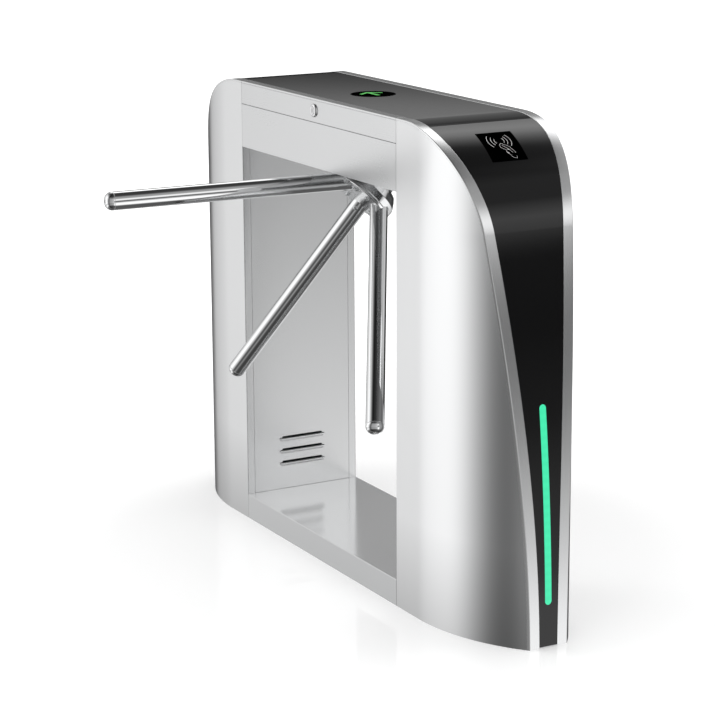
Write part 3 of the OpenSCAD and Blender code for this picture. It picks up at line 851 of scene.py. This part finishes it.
made.lathe([(0, -26 * MM), (PLUG_R, -26 * MM), (PLUG_R, 2.3 * MM), (6.5 * MM, 2.4 * MM),
            (6.5 * MM, -2 * MM), (0, -2 * MM)], lock_axis, 64)
made.done("lock_barrel", lock_chrome, "lock", ["lock_plug"], "lock_metal")

# ---------------------------------------------------------------- tripod
tilt = math.asin(-turn["axis"][2])
on_axis = Matrix.Translation(Vector(turn["pos_m"])) @ Matrix.Rotation(math.pi / 2 + tilt, 4, "X")


def on_arm(n):
    """Frame with +Z out along arm n."""
    return (on_axis @ Matrix.Rotation(ARM_LAG + n * 2 * math.pi / 3, 4, "Z")
            @ Matrix.Rotation(-tilt, 4, "X"))


def turned(points, radii, steps=4):
    """Lathe profile from (radius, height) corners in millimetres, rounded at each corner."""
    return fillet([(a * MM, b * MM) for a, b in points], [r * MM for r in radii], steps)


Builder().lathe(turned([(0, 16), (54, 16), (60, 24), (68, 38), (68, 53.6), (0, 53.6)],
                       [0, 2, 4, 4, 0.8, 0]), on_axis, 128).done(
    "hub_body", hub_metal, "tripod", ["hub"], "hub_metal")
Builder().lathe(turned([(0, 54), (68.6, 54), (70, 55.4), (70, 60.4), (68, 62), (0, 62)],
                       [0, 0.6, 0.8, 1.2, 1.2, 0]), on_axis, 128).done(
    "hub_plate", plate_metal, "tripod", ["hub_cover"], "hub_metal")

# button bolts with a hexagon socket
made = Builder()
for pair in (30, 150, 270):
    for off in (-18, 18):
        spot = (on_axis @ Matrix.Rotation(ARM_LAG + math.radians(pair + off), 4, "Z")
                @ Matrix.Translation((47 * MM, 0, 62 * MM)))
        made.lathe([(0, 1.2 * MM), (2.4 * MM, 1.2 * MM), (2.7 * MM, 3.2 * MM), (3.2 * MM, 3.5 * MM),
                    (4.4 * MM, 3.0 * MM), (5.2 * MM, 1.9 * MM), (5.5 * MM, 0.6 * MM),
                    (5.5 * MM, -0.5 * MM), (0, -0.5 * MM)], spot, 36)
made.done("hub_screws", bright_steel, "tripod", ["hub_bolts"], "zinc")

for n in range(3):
    tube_end = ARM_L - CAP_L
    shell_r = ARM_R
    profile = [(shell_r - 1.5 * MM, TUBE_S), (shell_r - 0.4 * MM, TUBE_S),
               (shell_r, TUBE_S + 0.4 * MM)]
    profile += [(shell_r, TUBE_S + (tube_end - TUBE_S) * k / 12) for k in range(1, 12)]
    profile += [(shell_r, tube_end - 0.3 * MM), (shell_r - 0.3 * MM, tube_end),
                (shell_r - 1.5 * MM, tube_end), (shell_r - 1.5 * MM, TUBE_S)]
    tube = Builder().lathe(profile, on_arm(n), 96).done(
        f"arm_tube_{n + 1}", chrome, "tripod", [f"arm_{n + 1}"], "arm_chrome")
    # the third arm's mirror image would be a dark smudge on the near column
    tube.visible_glossy = n != 2

made = Builder()
for n in range(3):
    crown = DOME_R
    shoulder = ARM_L - CAP_L + 0.2 * MM
    profile = [(0, ARM_L - 30 * MM), (ARM_R - 1.6 * MM, ARM_L - 30 * MM),
               (ARM_R - 1.6 * MM, shoulder), (ARM_R - 0.3 * MM, shoulder),
               (ARM_R, shoulder + 0.3 * MM)]
    profile += [(ARM_R - crown + crown * math.cos(a), ARM_L - crown + crown * math.sin(a))
                for a in (math.pi / 2 * k / 10 for k in range(11))]
    profile += [(3.4 * MM, ARM_L), (3.0 * MM, ARM_L - 0.3 * MM), (2.6 * MM, ARM_L - 1.2 * MM),
                (2.1 * MM, ARM_L - 1.3 * MM), (1.6 * MM, ARM_L - 0.8 * MM),
                (0.7 * MM, ARM_L - 0.45 * MM), (0, ARM_L - 0.4 * MM)]
    made.lathe(profile, on_arm(n), 96)
tips = made.done("arm_tips", chrome, "tripod", ["arm_caps"], "arm_chrome")
tips.visible_glossy = False            # as for the third arm

# set screws that pin each tube on its spigot
made = Builder()
for n in range(3):
    for turn_by in (0, 90, 180):
        spot = (on_arm(n) @ Matrix.Translation((0, 0, 82 * MM))
                @ Matrix.Rotation(math.radians(turn_by), 4, "Z")
                @ Matrix.Rotation(math.radians(90), 4, "X")
                @ Matrix.Translation((0, 0, ARM_R - 0.6 * MM)))
        made.lathe([(0, 1.0 * MM), (1.9 * MM, 1.0 * MM), (2.2 * MM, 2.0 * MM), (3.6 * MM, 1.9 * MM),
                    (4.6 * MM, 1.2 * MM), (5.0 * MM, 0.2 * MM), (5.0 * MM, -0.8 * MM),
                    (0, -0.8 * MM)], spot, 32)
made.done("tube_screws", bright_steel, "tripod", (), "zinc")


# ---------------------------------------------------------------- stage
floor_mesh = bpy.data.meshes.new("floor")
FLOOR_HALF = 30
floor_mesh.from_pydata([(-FLOOR_HALF, -FLOOR_HALF, 0), (FLOOR_HALF, -FLOOR_HALF, 0),
                        (FLOOR_HALF, FLOOR_HALF, 0), (-FLOOR_HALF, FLOOR_HALF, 0)],
                       [], [(0, 1, 2, 3)])
floor = bpy.data.objects.new("floor", floor_mesh)
bpy.context.scene.collection.objects.link(floor)
floor_mat, tree, shader = new_material("floor_white")
cloud = noise(tree, 1.5, 2.0)
feed(tree, shade(tree, cloud, (0.86, 0.86, 0.86), (0.88, 0.88, 0.88)), shader, "Base Color")
feed(tree, spread(tree, cloud, 0.03, 0.05), shader, "Roughness")
# the floor glows less near the cabinet, so that its soft shadow shows there
GLOW_NEAR, GLOW_FAR = 0.32, 1.0
GLOW_FROM, GLOW_TO = 0.6, 2.6
floor_place = node(tree, "ShaderNodeTexCoord").outputs["Object"]
away = node(tree, "ShaderNodeVectorMath", {0: floor_place}, operation="LENGTH").outputs["Value"]
floor_glow = spread(tree, away, GLOW_NEAR, GLOW_FAR, GLOW_FROM, GLOW_TO)
tree.links.new(floor_glow, shader.inputs["Emission Strength"])
shader.inputs["Emission Color"].default_value = (1, 1, 1, 1)
floor_mesh.materials.append(floor_mat)
floor.visible_glossy = False

world = bpy.data.worlds.new("studio")
bpy.context.scene.world = world
world.use_nodes = True
sky = world.node_tree
sky.nodes.clear()


def maths(operation, a, b=0.0):
    """Math node in the sky."""
    return node(sky, "ShaderNodeMath", {0: a, 1: b}, operation=operation).outputs[0]


def ramp(value, stops):
    """Brightness along a 0-1 value; stops hold (position, brightness)."""
    made_ramp = node(sky, "ShaderNodeValToRGB", {"Fac": value})
    elements = made_ramp.color_ramp.elements
    while len(elements) < len(stops):
        elements.new(0.5)
    for element, (position, level) in zip(elements, stops):
        element.position = position
        element.color = (level, level, level, 1)
    return made_ramp.outputs["Color"]


direction = node(sky, "ShaderNodeTexCoord").outputs["Generated"]
axes = node(sky, "ShaderNodeSeparateXYZ", {"Vector": direction})
height = maths("ARCSINE", axes.outputs["Z"])
rise = maths("MULTIPLY_ADD", height, 1 / math.pi)
rise.node.inputs[2].default_value = 0.5
bearing = maths("ARCTAN2", axes.outputs["Y"], axes.outputs["X"])
around = maths("MULTIPLY_ADD", bearing, 1 / (2 * math.pi))
around.node.inputs[2].default_value = 0.5


def up(degrees):
    """Position on an elevation ramp."""
    return 0.5 + degrees / 180


def azimuth(degrees):
    """Position on a ramp around the compass."""
    return 0.5 + degrees / 360


# behind the cabinet: low dark edge, dim wall, bright bank above it, dark ceiling
behind = ramp(rise, [(up(-90), 0.10), (up(-50), 0.12), (up(-42), 0.60), (up(-28), 0.70),
                     (up(-19), 0.08), (up(5), 0.01), (up(6.7), 0.0), (up(8.1), 0.46),
                     (up(9.5), 0.28), (up(25), 0.25), (up(29.5), 0.16), (up(31.5), 0.30),
                     (up(34), 1.05), (up(43), 1.80), (up(48), 1.70), (up(52), 1.15),
                     (up(57), 0.25), (up(62), 0.05), (up(90), 0.03)])
# past the end of the cabinet: bright floor, dark skirting, two banks of light
beside = ramp(rise, [(up(-90), 0.10), (up(-54), 0.10), (up(-48), 0.35), (up(-40), 1.20),
                     (up(-24), 1.20), (up(-17), 1.15), (up(-14.5), 0.72), (up(-9), 0.50),
                     (up(-4), 0.22), (up(2), 0.12), (up(7.4), 0.14), (up(9.5), 0.85),
                     (up(20), 1.15), (up(27), 0.75), (up(33), 0.37), (up(47), 0.36),
                     (up(55), 0.15), (up(62), 0.05), (up(90), 0.03)])
# in front: the floor fades towards the feet, the wall of light runs from left to right
facing = ramp(rise, [(up(-90), 0.10), (up(-54), 0.12), (up(-44), 0.30), (up(-36), 0.95),
                     (up(-26), 0.62), (up(-20), 0.56), (up(-17), 0.88), (up(-13), 1.0),
                     (up(-8.5), 0.88), (up(30), 0.88), (up(45), 0.35), (up(60), 0.08),
                     (up(90), 0.03)])
front_light = ramp(around, [(azimuth(-180), 0.60), (azimuth(-160), 0.82), (azimuth(-154), 0.88),
                            (azimuth(-149.5), 1.03), (azimuth(-143), 1.29),
                            (azimuth(-119), 1.41), (azimuth(-111), 1.18), (azimuth(-101), 0.64),
                            (azimuth(-91), 0.25), (azimuth(-83), 0.16), (azimuth(-75), 0.19),
                            (azimuth(-66), 0.40), (azimuth(-30), 0.50), (azimuth(0), 0.70)])
front = node(sky, "ShaderNodeMix", {"Factor": 1.0, "A": facing, "B": front_light},
             data_type="RGBA", blend_type="MULTIPLY").outputs["Result"]
from_beside = ramp(around, [(azimuth(60), 0.0), (azimuth(110), 1.0)])
rear = node(sky, "ShaderNodeMix", {"Factor": from_beside, "A": beside, "B": behind},
            data_type="RGBA").outputs["Result"]
is_front = ramp(axes.outputs["Y"], [(0.0, 1.0), (0.12, 0.0)])
surround = node(sky, "ShaderNodeMix", {"Factor": is_front, "A": rear, "B": front},
                data_type="RGBA").outputs["Result"]
seen = node(sky, "ShaderNodeLightPath").outputs["Is Camera Ray"]
studio = node(sky, "ShaderNodeMix", {"Factor": seen, "A": surround, "B": (1, 1, 1, 1)},
              data_type="RGBA").outputs["Result"]
background = node(sky, "ShaderNodeBackground", {"Color": studio, "Strength": 1.0})
node(sky, "ShaderNodeOutputWorld", {"Surface": background.outputs["Background"]})

for name, stand, aim, size, power in (
        ("overhead", (0.0, -0.3, 4.2), (0, 0, 0), 5.0, 150),
        ("front_left", (-3.0, -4.0, 2.2), (0, 0, 0.5), 2.5, 30)):
    data = bpy.data.lights.new(name, "AREA")
    data.size = size
    data.energy = power
    lamp = bpy.data.objects.new(name, data)
    bpy.context.scene.collection.objects.link(lamp)
    lamp.location = stand
    lamp.rotation_mode = "QUATERNION"
    lamp.rotation_quaternion = (Vector(aim) - Vector(stand)).to_track_quat("-Z", "Y")
    lamp.visible_glossy = False

# ---------------------------------------------------------------- camera
AZIMUTH = math.radians(61.347)
ELEVATION = math.radians(13.744)
ROLL = math.radians(-0.317)
SENSOR_W = 36                          # millimetres, as the lens
LENS = 118.66
CAMERA_AT = (4.29851, -2.38962, 1.63527)
back = Vector((math.sin(AZIMUTH) * math.cos(ELEVATION), -math.cos(AZIMUTH) * math.cos(ELEVATION),
               math.sin(ELEVATION)))
across = Vector((math.cos(AZIMUTH), math.sin(AZIMUTH), 0))
upward = Vector((-math.sin(AZIMUTH) * math.sin(ELEVATION),
                 math.cos(AZIMUTH) * math.sin(ELEVATION), math.cos(ELEVATION)))
right = across * math.cos(ROLL) + upward * math.sin(ROLL)
camera_up = upward * math.cos(ROLL) - across * math.sin(ROLL)
data = bpy.data.cameras.new("camera")
data.sensor_width = SENSOR_W
data.lens = LENS
camera = bpy.data.objects.new("camera", data)
bpy.context.scene.collection.objects.link(camera)
pose = Matrix((right, camera_up, back)).transposed().to_4x4()
pose.translation = Vector(CAMERA_AT)
camera.matrix_world = pose
bpy.context.scene.camera = camera
bpy.context.scene.view_settings.view_transform = "Standard"
